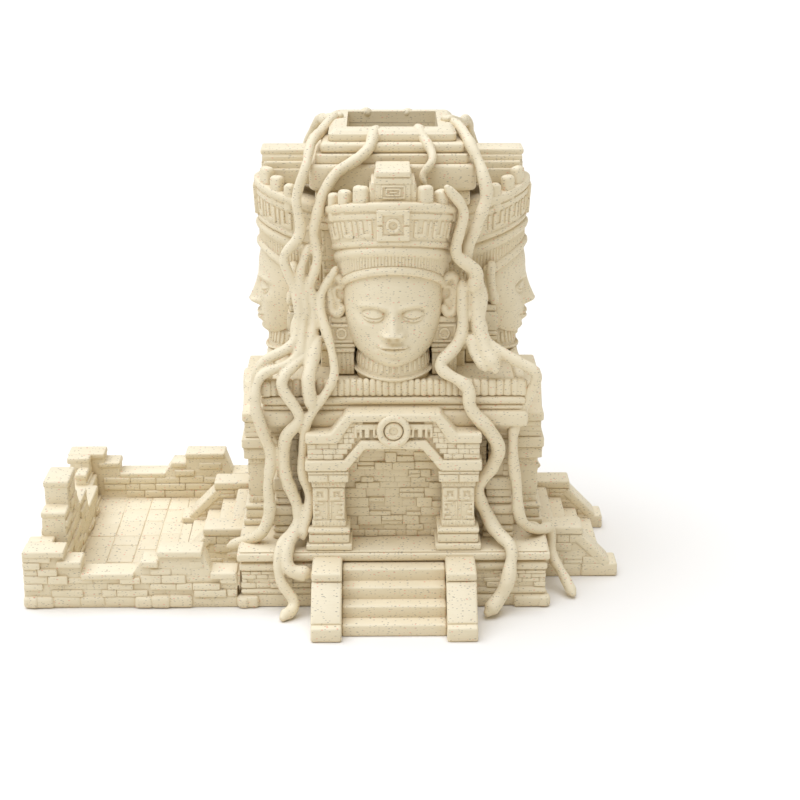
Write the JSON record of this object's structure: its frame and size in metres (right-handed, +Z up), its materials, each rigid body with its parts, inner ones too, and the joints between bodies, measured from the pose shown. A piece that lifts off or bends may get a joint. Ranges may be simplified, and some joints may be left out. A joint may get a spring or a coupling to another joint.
{
  "type": "dice tower",
  "caption": "Temple-shaped dice tower with carved heads, corner roots, porticos and stairs, and a walled dice tray that docks on its left side.",
  "frame": {"origin": "on the ground under the tower's axis, in the middle of the plinth's underside", "axes": "+Z up, the front of the tower faces -Y, and the tray lies on the -X side"},
  "size_m": [0.1883, 0.1458, 0.1454],
  "materials": {
    "speckled_stone": "matte cream with fine dark and reddish specks"
  },
  "bodies": {
    "tower": {"base_plinth": "speckled_stone", "bead_course": "speckled_stone", "corner_pilasters": "speckled_stone", "cornice": "speckled_stone", "exit_ramp": "speckled_stone", "front_balustrades": "speckled_stone", "front_columns": "speckled_stone", "front_crest": "speckled_stone", "front_crown": "speckled_stone", "front_feathers": "speckled_stone", "front_head": "speckled_stone", "front_left_roots": "speckled_stone", "front_pediment": "speckled_stone", "front_right_roots": "speckled_stone", "front_stairs": "speckled_stone", "head_collars": "speckled_stone", "head_pillars": "speckled_stone", "hopper_rim": "speckled_stone", "left_balustrades": "speckled_stone", "left_columns": "speckled_stone", "left_crest": "speckled_stone", "left_crown": "speckled_stone", "left_feathers": "speckled_stone", "left_head": "speckled_stone", "left_pediment": "speckled_stone", "left_stairs": "speckled_stone", "lower_baffle": "speckled_stone", "lower_front_wall": "speckled_stone", "lower_left_wall": "speckled_stone", "lower_rear_wall": "speckled_stone", "lower_right_wall": "speckled_stone", "pediment_medallions": "speckled_stone", "ramp_cheeks": "speckled_stone", "rear_balustrades": "speckled_stone", "rear_columns": "speckled_stone", "rear_crest": "speckled_stone", "rear_crown": "speckled_stone", "rear_feathers": "speckled_stone", "rear_head": "speckled_stone", "rear_left_roots": "speckled_stone", "rear_pediment": "speckled_stone", "rear_right_roots": "speckled_stone", "rear_stairs": "speckled_stone", "right_balustrades": "speckled_stone", "right_columns": "speckled_stone", "right_crest": "speckled_stone", "right_crown": "speckled_stone", "right_feathers": "speckled_stone", "right_head": "speckled_stone", "right_pediment": "speckled_stone", "right_stairs": "speckled_stone", "roof_block": "speckled_stone", "roof_slab": "speckled_stone", "upper_baffle": "speckled_stone", "upper_core": "speckled_stone"},
    "tray": {"tray_end_wall": "speckled_stone", "tray_floor": "speckled_stone", "tray_front_wall": "speckled_stone", "tray_rear_wall": "speckled_stone"}
  },
  "joints": [
    {"name": "tray_slide", "type": "slide", "parent": "tower", "child": "tray", "axis": [-1, 0, 0], "range_m": [0, 0.06]}
  ]
}
